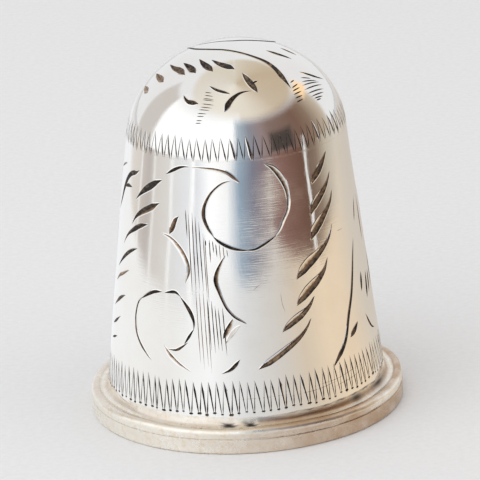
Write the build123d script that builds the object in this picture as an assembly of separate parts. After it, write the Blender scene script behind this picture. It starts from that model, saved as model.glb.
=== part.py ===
"""A dome-topped sewing thimble, worked in sheet silver over a tapered mandrel and soldered.

Frame: millimetres, +Z up through the crown, the mouth on Z = 0, the axis on X = Y = 0.
The wall's upright seam lies at the back, on +Y. The decorated front faces -Y.

The pieces, from the mouth upward:
  base_ring            flat strip ring that the thimble stands on
  ring_solder_joint    solder film between the base ring and the moulding
  foot_moulding        turned ring with a round bead and a concave cove above it
  foot_solder_joint    solder film between the moulding and the side wall
  side_wall            tapered tube rolled from sheet, open along one upright line
  wall_seam_solder     solder that closes that line
  crown_solder_joint   solder film between the side wall and the crown
  crown                domed cap

The engraving is 0.1 mm deep or less and is left to the surface finish.
"""
from build123d import *
from math import atan2, cos, degrees, radians, sin, sqrt, tan
import os

# ---- driving dimensions ---------------------------------------------------------------------
overall_height = 21.6            # mouth to apex
mouth_diameter = 15.0            # inside, at the foot of the wall: the thimble's fitting size
wall_taper = radians(6.65)       # the wall's lean, from upright
sheet_thickness = 0.5            # side wall and crown
shoulder_centre_r = 1.0          # how far from the axis the shoulder arc is centred
crown_rise = 0.365               # apex above the shoulder arc's own highest point

rim_overhang = 1.0               # base ring beyond the foot of the wall
base_ring_height = 0.86
base_ring_edge_radius = 0.14     # worn outer corners of the strip

bead_section_radius = 0.3        # half the thickness of the round bead
bead_overhang = 0.05             # bead beyond the base ring
cove_valley_depth = 0.17         # cove's lowest line below the bead's crest
cove_ledge = 0.02                # moulding beyond the foot of the wall, at their joint

seam_width = 0.12                # solder in the wall's upright seam
ring_joint_thickness = 0.06
foot_joint_thickness = 0.06
crown_joint_thickness = 0.1

# ---- places and sizes that follow -----------------------------------------------------------
mouth_radius = mouth_diameter / 2
rim_radius = mouth_radius + sheet_thickness + rim_overhang

moulding_foot_z = base_ring_height + ring_joint_thickness
bead_centre_r = rim_radius + bead_overhang - bead_section_radius
bead_centre_z = moulding_foot_z + bead_section_radius

# The cove is one arc, upright where it leaves the wall and tangent to the bead.
lip_radius = mouth_radius + sheet_thickness + cove_ledge
valley_z = bead_centre_z + bead_section_radius - cove_valley_depth
lip_to_bead = bead_centre_r - lip_radius
valley_above_bead = valley_z - bead_centre_z
cove_reach = lip_to_bead + bead_section_radius - valley_above_bead
cove_radius = cove_reach - sqrt(
    cove_reach**2 - lip_to_bead**2 - valley_above_bead**2 + bead_section_radius**2
)
cove_centre_r = lip_radius + cove_radius
moulding_top_z = valley_z + cove_radius

wall_foot_z = moulding_top_z + foot_joint_thickness
wall_foot_radius = mouth_radius + sheet_thickness / cos(wall_taper)

# The shoulder arc is tangent to the wall's taper at the crown's edge. Its radius and the
# crown's height both grow with the radius there, which solves to this.
growth = tan(wall_taper) * (1 - sin(wall_taper)) / cos(wall_taper)
wall_and_shoulder_height = overall_height - crown_rise - wall_foot_z
crown_edge_radius = (
    wall_foot_radius - tan(wall_taper) * wall_and_shoulder_height - growth * shoulder_centre_r
) / (1 - growth)
shoulder_radius = (crown_edge_radius - shoulder_centre_r) / cos(wall_taper)
shoulder_centre_z = overall_height - crown_rise - shoulder_radius
crown_edge_z = shoulder_centre_z + shoulder_radius * sin(wall_taper)
wall_top_z = crown_edge_z - crown_joint_thickness

# The top arc is tangent to the shoulder arc and centred on the axis.
top_radius = shoulder_radius + (shoulder_centre_r**2 + crown_rise**2) / (2 * crown_rise)
top_centre_z = overall_height - top_radius
top_arc_start = atan2(shoulder_centre_z - top_centre_z, shoulder_centre_r)


def turned(*outline):
    """Solid turned about the axis from edges drawn as (radius, height)."""
    return revolve(Plane.XZ * make_face(Curve() + list(outline)), axis=Axis.Z)


def ring(inner, outer, low, high):
    """Plain ring with a level top and bottom."""
    outline = Polyline((inner, low), (outer, low), (outer, high), (inner, high), close=True)
    return turned(*outline.edges())


def band(low, high):
    """Disc wider than the thimble, to pick out what lies between two heights."""
    disc = Cylinder(2 * rim_radius, high - low, align=(Align.CENTER, Align.CENTER, Align.MIN))
    return Pos(0, 0, low) * disc


def mandrel(inset):
    """Solid bounded by the sheet's outside, moved inward by inset, from the wall's foot up."""
    shoulder = CenterArc(
        (shoulder_centre_r, shoulder_centre_z),
        shoulder_radius - inset,
        degrees(wall_taper),
        degrees(top_arc_start - wall_taper),
    )
    top = CenterArc(
        (0, top_centre_z), top_radius - inset, degrees(top_arc_start), 90 - degrees(top_arc_start)
    )
    foot = (wall_foot_radius - inset / cos(wall_taper), wall_foot_z)
    return turned(
        Line((0, wall_foot_z), foot),
        Line(foot, shoulder @ 0),
        shoulder,
        top,
        Line(top @ 1, (0, wall_foot_z)),
    )


def make_base_ring():
    strip = ring(mouth_radius, rim_radius, 0, base_ring_height)
    corners = strip.edges().filter_by(GeomType.CIRCLE).sort_by(SortBy.RADIUS)[-2:]
    return fillet(corners, min(base_ring_edge_radius, 0.45 * base_ring_height))


def make_foot_moulding():
    cove_centre = Vector(cove_centre_r, moulding_top_z)
    bead_centre = Vector(bead_centre_r, bead_centre_z)
    towards_bead = bead_centre - cove_centre
    meeting = degrees(atan2(-towards_bead.Y, -towards_bead.X))      # as seen from the bead
    bead = CenterArc(bead_centre, bead_section_radius, -90, meeting + 90)
    cove = CenterArc(cove_centre, cove_radius, 180, meeting)
    return turned(
        Line((mouth_radius, moulding_foot_z), bead @ 0),
        bead,
        cove,
        Line(cove @ 0, (mouth_radius, moulding_top_z)),
        Line((mouth_radius, moulding_top_z), (mouth_radius, moulding_foot_z)),
    )


sheet = mandrel(0) - mandrel(sheet_thickness)
wall_tube = sheet & band(wall_foot_z, wall_top_z)
seam_bar = Box(
    seam_width, rim_radius, overall_height, align=(Align.CENTER, Align.MIN, Align.MIN)
)

parts = {
    "base_ring": make_base_ring(),
    "ring_solder_joint": ring(mouth_radius, bead_centre_r, base_ring_height, moulding_foot_z),
    "foot_moulding": make_foot_moulding(),
    "foot_solder_joint": ring(mouth_radius, wall_foot_radius, moulding_top_z, wall_foot_z),
    "side_wall": wall_tube - seam_bar,
    "wall_seam_solder": wall_tube & seam_bar,
    "crown_solder_joint": sheet & band(wall_top_z, crown_edge_z),
    "crown": sheet & band(crown_edge_z, overall_height + sheet_thickness),
}

os.makedirs("parts", exist_ok=True)
for name, shape in parts.items():
    export_step(shape, f"parts/{name}.step")
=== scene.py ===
"""Looks of the engraved silver thimble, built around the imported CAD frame.

The script works in millimetres and writes meshes in metres. The decorated front faces -Y.
Places on the wall are given as (degrees round from the front, height), and places on the crown
as (right, back) measured along its surface from the apex.

The whole outside of the sheet silver is one flat map, the map is triangulated with every
engraved cut as lines in it, and the triangles are then folded up on the thimble's shape with
the cuts sunk below it. A cut is a V groove with two slanting sides, as a graver leaves.
"""
from math import atan2, cos, degrees, pi, radians, sin, sqrt

import bpy
import numpy as np
from mathutils import Matrix, Vector
from mathutils.geometry import delaunay_2d_cdt


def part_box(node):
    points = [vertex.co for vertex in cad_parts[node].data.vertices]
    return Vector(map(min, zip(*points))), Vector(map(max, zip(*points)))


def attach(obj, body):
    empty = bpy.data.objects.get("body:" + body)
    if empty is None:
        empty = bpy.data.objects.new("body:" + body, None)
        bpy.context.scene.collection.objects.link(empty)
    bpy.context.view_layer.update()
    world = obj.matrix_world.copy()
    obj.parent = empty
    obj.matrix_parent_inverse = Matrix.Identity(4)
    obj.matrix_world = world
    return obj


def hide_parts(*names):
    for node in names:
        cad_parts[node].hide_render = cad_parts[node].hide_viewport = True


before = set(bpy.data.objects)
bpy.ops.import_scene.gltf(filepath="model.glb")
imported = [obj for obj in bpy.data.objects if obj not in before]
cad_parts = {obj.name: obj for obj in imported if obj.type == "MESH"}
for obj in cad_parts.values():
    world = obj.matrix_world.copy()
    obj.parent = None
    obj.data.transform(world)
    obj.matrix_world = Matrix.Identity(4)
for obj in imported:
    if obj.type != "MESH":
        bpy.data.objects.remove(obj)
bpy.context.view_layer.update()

MM = 0.001
rng = np.random.default_rng(7)


# ---- sizes from the frame, in millimetres ---------------------------------------------------
def node_box(node):
    return [np.array(corner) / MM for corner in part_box(node)]


crown_low, crown_high = node_box("crown")
wall_low, wall_high = node_box("side_wall")
_, ring_high = node_box("base_ring")
moulding_low, moulding_high = node_box("foot_moulding")

apex_z, crown_edge_z, crown_edge_r = crown_high[2], crown_low[2], crown_high[0]
wall_top_z, wall_foot_z, wall_foot_r = wall_high[2], wall_low[2], wall_high[0]
ring_top_z, rim_r = ring_high[2], ring_high[0]
moulding_foot_z, moulding_top_z, bead_outer_r = moulding_low[2], moulding_high[2], moulding_high[0]

# Sizes that the boxes don't show, as in the CAD model.
SHEET = 0.5
MOUTH_R = 7.5
SHOULDER_CENTRE_R = 1.0
CROWN_RISE = 0.365
SEAM_WIDTH = 0.12
BEAD_R = 0.3
COVE_VALLEY_DEPTH = 0.17
COVE_LEDGE = 0.02

taper = atan2(wall_foot_r - crown_edge_r, crown_edge_z - wall_foot_z)
shoulder_r = (crown_edge_r - SHOULDER_CENTRE_R) / cos(taper)
shoulder_z = apex_z - CROWN_RISE - shoulder_r
top_r = shoulder_r + (SHOULDER_CENTRE_R**2 + CROWN_RISE**2) / (2 * CROWN_RISE)
top_z = apex_z - top_r
top_arc_start = atan2(shoulder_z - top_z, SHOULDER_CENTRE_R)

top_length = top_r * (pi / 2 - top_arc_start)
dome_length = top_length + shoulder_r * (top_arc_start - taper)
full_length = dome_length + (crown_edge_z - wall_foot_z) / cos(taper)


# ---- the thimble's meridian, by distance s from the apex ------------------------------------
def meridian(s):
    """Radius and height of the sheet's outside at distance s from the apex."""
    top_angle = pi / 2 - s / top_r
    shoulder_angle = top_arc_start - (s - top_length) / shoulder_r
    down_wall = s - dome_length
    stretches = [s < top_length, s < dome_length]
    r_top = top_r * np.cos(top_angle)
    z_top = top_z + top_r * np.sin(top_angle)
    r_shoulder = SHOULDER_CENTRE_R + shoulder_r * np.cos(shoulder_angle)
    z_shoulder = shoulder_z + shoulder_r * np.sin(shoulder_angle)
    r = np.select(stretches, [r_top, r_shoulder], crown_edge_r + down_wall * sin(taper))
    z = np.select(stretches, [z_top, z_shoulder], crown_edge_z - down_wall * cos(taper))
    return r, z


# The flat map keeps angles: a ring at distance s from the apex becomes a circle of radius rho,
# where d(rho) / rho = ds / r.
S_TABLE = np.linspace(1e-4, full_length + 0.5, 6000)
R_TABLE, Z_TABLE = meridian(S_TABLE)
_slope = 1 / R_TABLE - 1 / S_TABLE
_steps = np.diff(S_TABLE) * (_slope[1:] + _slope[:-1]) / 2
RHO_TABLE = S_TABLE * np.exp(np.concatenate([[0], np.cumsum(_steps)]))


def radius_at(s):
    return np.interp(s, S_TABLE, R_TABLE)


def height_at(s):
    return np.interp(s, S_TABLE, Z_TABLE)


def distance_at(height):
    """How far from the apex the sheet reaches a height."""
    return np.interp(-height, -Z_TABLE, S_TABLE)


def to_map(theta, s):
    rho = np.interp(s, S_TABLE, RHO_TABLE)
    return np.stack([rho * np.sin(theta), -rho * np.cos(theta)], -1)


def from_map(xy):
    rho = np.hypot(xy[..., 0], xy[..., 1])
    return np.arctan2(xy[..., 0], -xy[..., 1]), np.interp(rho, RHO_TABLE, S_TABLE)


def map_scale(xy):
    """Map units per millimetre of surface."""
    rho = np.hypot(xy[..., 0], xy[..., 1])
    s = np.interp(rho, RHO_TABLE, S_TABLE)
    return rho / radius_at(s)


def on_wall(*places):
    """Map points of places given as (degrees round, height)."""
    theta, z = np.array(places, float).T
    return to_map(np.radians(theta), distance_at(z))


def on_crown(*places):
    """Map points of places given as (right, back), measured along the surface."""
    right, back = np.array(places, float).T
    return to_map(np.arctan2(right, -back), np.hypot(right, back))


# ---- the shape the map is folded up on, with the small errors of handwork -------------------
LEAN = 0.28            # how far the apex leans to the right
CROWN_SHIFT = 0.08     # and how far the crown sits off the wall
SHIFT_FROM = 13        # the shift comes in from this height
SHIFT_OVER = 6         # and over this much of it
WOBBLE = 0.008


def smooth_step(t):
    t = np.clip(t, 0, 1)
    return t * t * (3 - 2 * t)


def hand_lean(z):
    up = z - wall_foot_z
    shift = CROWN_SHIFT * smooth_step((z - SHIFT_FROM) / SHIFT_OVER)
    return LEAN * up / (apex_z - wall_foot_z) + shift


def out_of_round(theta, z):
    """Small waves that hammering and burnishing leave. They die out at the foot and apex."""
    fade = smooth_step((z - wall_foot_z) / 3) * smooth_step((apex_z - z) / 3)
    waves = (
        0.9 * np.sin(2 * theta + 0.35 * z)
        + 0.6 * np.sin(5 * theta - 0.8 * z + 1.0)
        + 0.35 * np.sin(9 * theta + 1.3 * z + 2.0)
        + 0.4 * np.sin(1.1 * z + 3 * np.cos(theta))
    )
    return WOBBLE * fade * waves


def fold(xy):
    """Places in millimetres of the undecorated outside of the sheet silver."""
    theta, s = from_map(xy)
    r, z = radius_at(s), height_at(s)
    r = r + out_of_round(theta, z)
    return np.stack([r * np.sin(theta) + hand_lean(z), -r * np.cos(theta), z], -1)


def fold_normals(xy):
    step = 0.02 * map_scale(xy)[:, None]
    along_x = fold(xy + step * [1, 0]) - fold(xy - step * [1, 0])
    along_y = fold(xy + step * [0, 1]) - fold(xy - step * [0, 1])
    normal = np.cross(along_x, along_y)
    return normal / np.linalg.norm(normal, axis=1, keepdims=True)


# ---- engraved cuts --------------------------------------------------------------------------
# How dark a groove is on its left edge, along its bottom and on its right edge: oxide in the cut
# and painted shade. An edge with a low value is left bare silver, a painted highlight, while
# the other side is painted dark as shade. Half is brown and one is black.
BLACK = (1.0, 1.0, 1.0)
# Painted highlight: the right edge is bare silver beside a dark left edge and bottom.
BRIGHT_RIGHT = (1.0, 1.0, 0.0)
CUT_STEP = 0.13
STRAIGHT_POINTS = 5                # in a cut given by its two ends only
V_DEPTH = 0.36                     # depth of a cut, as a share of its width
MAX_DEPTH = 0.1
MIN_WIDTH = 0.012
EDGE_SLACK = 0.03                  # keeps points on a cut's edge inside it
BURR_WIDTH = 0.05                  # metal pushed up along each side of a wide cut
BURR_HEIGHT = 0.012
BURR_FROM = 0.12                   # width from which a cut has a burr


class Cut:
    """One stroke of the graver, as a tapering V groove along a smooth line in the map."""

    def __init__(self, points, widths, side=0.0, oxide=BLACK, strength=1.0):
        self.line = smooth_line(points)
        self.scale = map_scale(self.line)
        t = np.linspace(0, 1, len(self.line))
        knots = np.linspace(0, 1, len(widths) + 2)
        self.half = np.maximum(np.interp(t, knots, [0, *widths, 0]), MIN_WIDTH) / 2
        self.half[[0, -1]] = 0
        self.side = side
        self.oxide = np.array(oxide) * strength
        self.burr = BURR_WIDTH if max(widths) >= BURR_FROM else 0
        reach = ((self.half * 1.5 + self.burr) * self.scale).max()
        self.low, self.high = self.line.min(0) - reach, self.line.max(0) + reach

    def outline(self):
        """The sides, the bottom and the burr's feet, without the two shared tips."""
        tangent = np.gradient(self.line, axis=0)
        tangent /= np.linalg.norm(tangent, axis=1, keepdims=True)
        left = np.stack([-tangent[:, 1], tangent[:, 0]], 1)
        offset = left * (self.half * self.scale)[:, None]
        lines = [self.line + offset, self.line + self.side * offset, self.line - offset]
        if self.burr:
            foot = offset + left * (self.burr * self.scale)[:, None]
            lines += [self.line + foot, self.line - foot]
        return [line[1:-1] for line in lines]

    def nearest(self, xy):
        """For each map point: millimetres to the side of the line, and half width there."""
        start, run = self.line[:-1], np.diff(self.line, axis=0)
        gap = xy[:, None] - start[None]
        t = np.clip((gap * run).sum(-1) / (run**2).sum(-1), 0, 1)
        off = gap - t[..., None] * run
        distance = np.hypot(off[..., 0], off[..., 1])
        best = distance.argmin(1)
        rows = np.arange(len(xy))
        t = t[rows, best]
        half = self.half[best] * (1 - t) + self.half[best + 1] * t
        scale = self.scale[best] * (1 - t) + self.scale[best + 1] * t
        turn = run[best, 0] * off[rows, best, 1] - run[best, 1] * off[rows, best, 0]
        lateral = np.sign(turn) * distance[rows, best] / scale
        return lateral, half

    def carve(self, xy):
        """Depth of the groove, its oxide and painted shade, and height of its burr, at map points.
        """
        lateral, half = self.nearest(xy)
        across = lateral / np.maximum(half, MIN_WIDTH / 4)
        inside = np.abs(across) <= 1 + EDGE_SLACK
        rise = np.interp(across, [-1, self.side, 1], [0, 1, 0])
        deepest = np.minimum(2 * half * V_DEPTH, MAX_DEPTH)
        # Painted shade: the darkness runs from the left edge through the bottom to the right edge,
        # so one wall of the groove can be dark and the other bright.
        right, bottom, left = self.oxide[2], self.oxide[1], self.oxide[0]
        oxide = np.interp(across, [-1, self.side, 1], [right, bottom, left])
        burr = np.zeros(len(xy))
        if self.burr:
            beyond = (np.abs(lateral) - half) / self.burr
            ends = smooth_step(half / (0.2 * BURR_FROM))
            burr = BURR_HEIGHT * ends * np.interp(beyond, [-0.1, 0, 1], [0, 1, 0])
        return np.where(inside, rise * deepest, 0), np.where(inside, oxide, 0), burr


def smooth_line(points):
    """Catmull-Rom line through the points, in steps of about CUT_STEP on the surface."""
    points = np.asarray(points, float)
    if len(points) == 2:
        t = np.linspace(0, 1, STRAIGHT_POINTS)[:, None]
        return points[0] * (1 - t) + points[1] * t
    ends = [2 * points[0] - points[1], *points, 2 * points[-1] - points[-2]]
    line = []
    for a, b, c, d in zip(ends, ends[1:], ends[2:], ends[3:]):
        length = np.linalg.norm(c - b) / map_scale(b)
        count = max(2, int(round(length / CUT_STEP)))
        t = (np.arange(count) / count)[:, None]
        line.append(
            0.5 * (2 * b + (c - a) * t + (2 * a - 5 * b + 4 * c - d) * t**2
                   + (3 * b - a - 3 * c + d) * t**3)
        )
    line.append(points[-1:])
    return np.concatenate(line)


cuts = []


def wall_cut(places, widths, turn=0, **how):
    moved = [(theta + turn, z) for theta, z in places]
    cuts.append(Cut(on_wall(*moved), widths, **how))


def wall_cuts(turn, strokes, **shared):
    """Cuts given as (places, widths), some with a dict of what else is special about them."""
    for places, widths, *special in strokes:
        wall_cut(places, widths, turn, **shared, **dict(*special))


def crown_cut(places, widths, turned=False, **how):
    sign = -1 if turned else 1
    moved = [(sign * right, sign * back) for right, back in places]
    cuts.append(Cut(on_crown(*moved), widths, **how))


def crown_cuts(strokes, turned=False):
    """As wall_cuts. `turned` puts them on the side away from the front."""
    for places, widths, *special in strokes:
        crown_cut(places, widths, turned, **dict(*special))


def leaf_row_right(turn):
    """Bright-cut leaves, thin at the upper right and fat at the lower left."""
    # Their lower edges are painted dark as shade and their upper edges left nearly bare silver as
    # a painted highlight.
    wall_cuts(turn, [
        ([(51.8, 16.05), (48.5, 15.6), (44.5, 15.15), (41, 14.8), (39, 14.48)],
         [0.16, 0.34, 0.44, 0.38]),
        ([(52.9, 14.85), (50.5, 14.4), (47, 13.98), (42, 13.55), (38.5, 13.15), (36.2, 12.74)],
         [0.14, 0.34, 0.5, 0.44]),
        ([(52.9, 13.78), (50.5, 13.2), (46.5, 12.72), (41.5, 12.25), (37.5, 11.82), (34.8, 11.34)],
         [0.14, 0.3, 0.54, 0.54]),
        ([(49.6, 11.88), (46.5, 11.25), (42.5, 10.8), (37, 10.42), (31, 10.0), (25.2, 9.34)],
         [0.12, 0.24, 0.46, 0.6, 0.52]),
        ([(43.8, 10.1), (41, 9.5), (37, 9.08), (31.5, 8.65), (27, 8.2), (24.2, 7.84)],
         [0.12, 0.32, 0.52, 0.56, 0.44]),
        ([(33.8, 8.18), (30.5, 7.66), (26.5, 7.32), (21.5, 6.98), (16.4, 6.5)],
         [0.14, 0.26, 0.42, 0.44, 0.34]),
        ([(30.9, 6.98), (28, 6.45), (23.5, 5.95), (17, 5.45), (10.5, 4.95), (4.8, 4.54)],
         [0.12, 0.24, 0.34, 0.38, 0.36]),
    ], side=0.1, oxide=(1.1, 0.6, 0.1))


def comma_row_left(turn):
    """Black commas, thin at the lower left and fat at the upper right."""
    wall_cuts(turn, [
        ([(-61.6, 13.58), (-55.5, 14.22), (-49.5, 14.68), (-45, 15.0), (-41.6, 15.18)],
         [0.16, 0.34, 0.42, 0.3]),
        ([(-64.2, 12.0), (-60.4, 12.6), (-55, 13.06), (-49.5, 13.4), (-45, 13.7), (-42.7, 13.84)],
         [0.12, 0.28, 0.38, 0.36], dict(oxide=(1, 1, 0.5))),
        ([(-72.5, 10.62), (-68, 11.3), (-62, 11.8), (-56, 12.2), (-50, 12.44)],
         [0.12, 0.2, 0.3, 0.26]),
        ([(-78.8, 9.05), (-73, 9.7), (-67, 10.25), (-62, 10.6), (-57.3, 10.84)],
         [0.12, 0.22, 0.24, 0.18]),
        ([(-80.5, 8.15), (-75, 8.68), (-70, 8.98), (-64, 9.35)],
         [0.14, 0.22, 0.16], dict(strength=0.6)),
        ([(-81.5, 6.62), (-76, 7.12), (-72, 7.45), (-66.3, 7.8)],
         [0.12, 0.24, 0.2], dict(strength=0.85)),
        ([(-81.5, 5.55), (-76, 5.95), (-70.5, 6.4)], [0.14, 0.2, 0.12]),
        ([(-82, 4.7), (-78, 4.88), (-73.5, 5.1)], [0.1, 0.16, 0.1]),
    ], side=0.1)


def upper_scroll(turn):
    """The crescent under the upper band and the large open scroll that grows from it."""
    wall_cuts(turn, [
        ([(-39.6, 15.54), (-35, 15.86), (-30, 16.1), (-25, 16.14)], [0.14, 0.2, 0.16, 0.08]),
        ([(-25, 16.13), (-18, 16.12), (-12, 16.05), (-6, 15.85), (-2, 15.5), (0.6, 15.25)],
         [0.07, 0.12, 0.16, 0.18, 0.16], dict(side=0.7, oxide=BRIGHT_RIGHT)),
        ([(-3.4, 15.43), (-8, 15.3), (-12, 14.98), (-15.3, 14.52), (-17.6, 13.88), (-17.6, 13.28),
          (-15.5, 12.68), (-12.7, 12.2)],
         [0.08, 0.1, 0.13, 0.17, 0.22, 0.2, 0.14], dict(side=0.3, oxide=(1, 1, 0.6))),
        ([(-13.6, 12.3), (-10, 11.92), (-5, 11.6), (0, 11.44), (4.4, 11.4)],
         [0.15, 0.18, 0.16, 0.1]),
        ([(1, 11.42), (6, 11.42), (10, 11.6), (14, 11.85), (17.4, 12.08)],
         [0.09, 0.13, 0.13, 0.09]),
        ([(16, 11.98), (19, 12.35), (21.7, 12.92), (24, 13.38), (24.9, 14.0), (24.3, 14.62),
          (22.3, 15.17), (19.5, 15.66), (16.5, 16.0), (13, 16.22)],
         [0.1, 0.14, 0.16, 0.2, 0.24, 0.3, 0.3, 0.22], dict(side=0.55, oxide=BRIGHT_RIGHT)),
    ])


def left_motif(turn):
    """The bright crescent and small leaf left of the shading, and the round scroll below."""
    wall_cuts(turn, [
        ([(-40.8, 12.16), (-36, 12.0), (-32, 11.65), (-28.5, 11.15), (-26.2, 10.6), (-25.6, 10.1),
          (-27.2, 9.45)],
         [0.16, 0.26, 0.3, 0.28, 0.2], dict(side=0.72, oxide=BRIGHT_RIGHT)),
        ([(-31, 13.28), (-33, 13.0), (-34.3, 12.6), (-36.2, 12.18)],
         [0.24, 0.3, 0.3], dict(oxide=(0.9, 0.9, 0.5))),
        ([(-44.3, 4.68), (-48, 5.05), (-52, 5.52), (-55, 6.1), (-56, 6.8), (-55.7, 7.3),
          (-54.5, 7.8), (-51.8, 8.18)],
         [0.08, 0.14, 0.14, 0.13, 0.12, 0.12, 0.1], dict(strength=0.85)),
        ([(-52.8, 8.05), (-48, 8.45), (-44, 8.7), (-39.2, 8.8)], [0.14, 0.2, 0.18]),
        ([(-38.4, 8.76), (-35, 8.87), (-32, 8.9), (-29.3, 8.68)], [0.12, 0.2, 0.14]),
        ([(-30, 8.74), (-27, 8.3), (-24.5, 7.85), (-22.8, 7.3), (-22.9, 6.8)],
         [0.12, 0.22, 0.22, 0.12]),
        ([(-22.6, 6.95), (-25, 6.45), (-27.4, 5.95)], [0.1, 0.16, 0.12]),
        ([(-25.3, 6.12), (-28.5, 5.8), (-31.5, 5.58), (-35.8, 5.56)],
         [0.1, 0.17, 0.1], dict(oxide=(1, 1, 0.5))),
        ([(-37.8, 5.76), (-35, 5.3), (-31, 4.88), (-27, 4.6), (-24, 4.42)],
         [0.2, 0.26, 0.2, 0.12], dict(side=0.75, oxide=(0.5, 1, 0.0))),
    ])


def middle_motif(turn):
    """The open C beside the shading, with its stop and foot."""
    wall_cuts(turn, [
        ([(-7.6, 11.2), (-10, 10.7), (-12, 10.1), (-12.3, 9.6), (-11, 9.1), (-9.5, 8.6),
          (-7.5, 8.1), (-4.5, 7.66), (-1.5, 7.4), (1.0, 7.2)],
         [0.1, 0.2, 0.26, 0.18, 0.13, 0.12, 0.12, 0.1], dict(side=-0.4, oxide=(0.5, 1, 1))),
        ([(-5.2, 7.55), (-6.9, 7.05), (-9.7, 6.4)],
         [0.22, 0.3, 0.26], dict(side=-0.6, oxide=(0.35, 0.9, 1))),
        ([(-1.6, 7.2), (-4.6, 6.85), (-8.8, 6.1)],
         [0.16, 0.24, 0.12], dict(side=0.8, oxide=(0.3, 0.2, 0.0))),
        ([(-2.6, 5.22), (-4.5, 4.9), (-7, 4.6), (-10.8, 4.38)], [0.2, 0.2, 0.12]),
    ])


def shading(turn):
    """Upright shading lines. They lean to the right going down."""
    groups = [
        # first line's place, lines, gap in degrees, top, bottom, lean, width, strength
        (-27.4, 1, 0.0, 13.7, 12.1, 1.2, 0.06, 0.9),
        (-25.7, 4, 1.75, 13.65, 8.95, 2.3, 0.06, 0.9),
        (-18.4, 2, 1.1, 12.7, 8.6, 2.0, 0.045, 0.7),
        (-17.1, 1, 0.0, 12.2, 11.65, 0.3, 0.07, 0.9),
        (-15.2, 3, 1.65, 12.15, 11.25, 0.6, 0.06, 0.9),
        (-10.3, 3, 1.7, 11.75, 11.05, 0.5, 0.045, 0.7),
        (-21.9, 3, 1.7, 9.3, 4.5, 2.4, 0.045, 0.6),
        (-16.6, 1, 0.0, 8.95, 4.2, 1.9, 0.04, 0.5),
        (-16.4, 5, 1.65, 8.65, 5.65, 1.6, 0.06, 0.95),
    ]
    for first, count, gap, top, bottom, lean, width, strength in groups:
        for line in range(count):
            start = first + line * gap + rng.normal(0, 0.12)
            high = top - 0.12 * line + rng.normal(0, 0.12)
            low = bottom + rng.normal(0, 0.22)
            middle = (start + lean * 0.5, (high + low) / 2)
            wall_cut([(start, high), middle, (start + lean, low)],
                     [width, width * 0.8, width * 1.1, width * 0.6], strength=strength, turn=turn)


def side_spray(turn):
    """The long stem and loose leaves between the two panels."""
    wall_cuts(turn, [
        ([(66.5, 10.5), (63.5, 9.6), (60.5, 8.55), (57, 7.42), (53, 6.4), (49.5, 5.32),
          (46.5, 4.72), (43, 4.25), (39.6, 3.8)],
         [0.1, 0.14, 0.17, 0.17, 0.18, 0.18, 0.22, 0.26]),
        ([(69, 8.3), (67.8, 7.7), (66.7, 7.18)], [0.2, 0.26, 0.24]),
        ([(75.5, 8.1), (73.5, 7.1), (72.3, 6.55)], [0.22, 0.3, 0.24]),
        ([(79.5, 8.0), (77.8, 7.2), (76.5, 6.7)], [0.2, 0.26, 0.2]),
        ([(59, 5.75), (55.5, 5.36), (51.8, 5.08)], [0.18, 0.3, 0.28], dict(oxide=(1, 1, 0.5))),
        ([(67, 5.85), (70, 5.2), (73, 4.8), (76.5, 4.6)], [0.16, 0.18, 0.12]),
        ([(75, 12.6), (72, 11.7), (70.3, 11.2)], [0.1, 0.15, 0.14], dict(strength=0.6)),
        ([(80.8, 12.5), (79.6, 11), (79, 9.7)], [0.16, 0.2, 0.16], dict(strength=0.6)),
        ([(86, 9.0), (84, 7.6), (82.5, 6.8)], [0.16, 0.26, 0.2]),
        # The same spray's upper leaves, seen at the far left of the other panel.
        ([(94.5, 12.2), (99.5, 13.0), (103.5, 13.85), (107.5, 14.5), (112, 14.9), (117, 15.1),
          (120.2, 15.32)],
         [0.14, 0.24, 0.3, 0.3, 0.3, 0.28]),
        ([(104.2, 13.92), (109, 14.12), (114, 14.15)], [0.18, 0.22, 0.14]),
        ([(93.5, 14.7), (99, 15.05), (104.2, 15.27)], [0.1, 0.14, 0.1], dict(strength=0.7)),
        ([(88, 12.8), (90, 11.2), (91.5, 9.6)], [0.12, 0.2, 0.14], dict(strength=0.8)),
    ])


def scratches():
    """Stray marks of use on the front."""
    for places in (
        [(4.1, 9.05), (6, 9.26), (7.9, 9.42)],
        [(52, 11.3), (54.5, 11.34), (57.5, 11.3)],
        [(17, 8.9), (17.3, 8.2), (18.7, 7.5)],
        [(19.8, 13.72), (22, 13.8), (24, 13.88)],
        [(3.2, 10.78), (5, 10.82), (7, 10.8)],
    ):
        wall_cut(places, [0.018, 0.022, 0.018], strength=0.6)
    for places in (
        [(-6, 2.86), (6, 2.9), (18, 2.88)],
        [(15, 2.72), (30, 2.84), (44, 2.98)],
        [(28, 3.02), (42, 3.12), (58, 3.3)],
        [(36, 2.62), (50, 2.84), (64, 3.1)],
    ):
        wall_cut(places, [0.022, 0.03, 0.024], strength=0)


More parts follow.
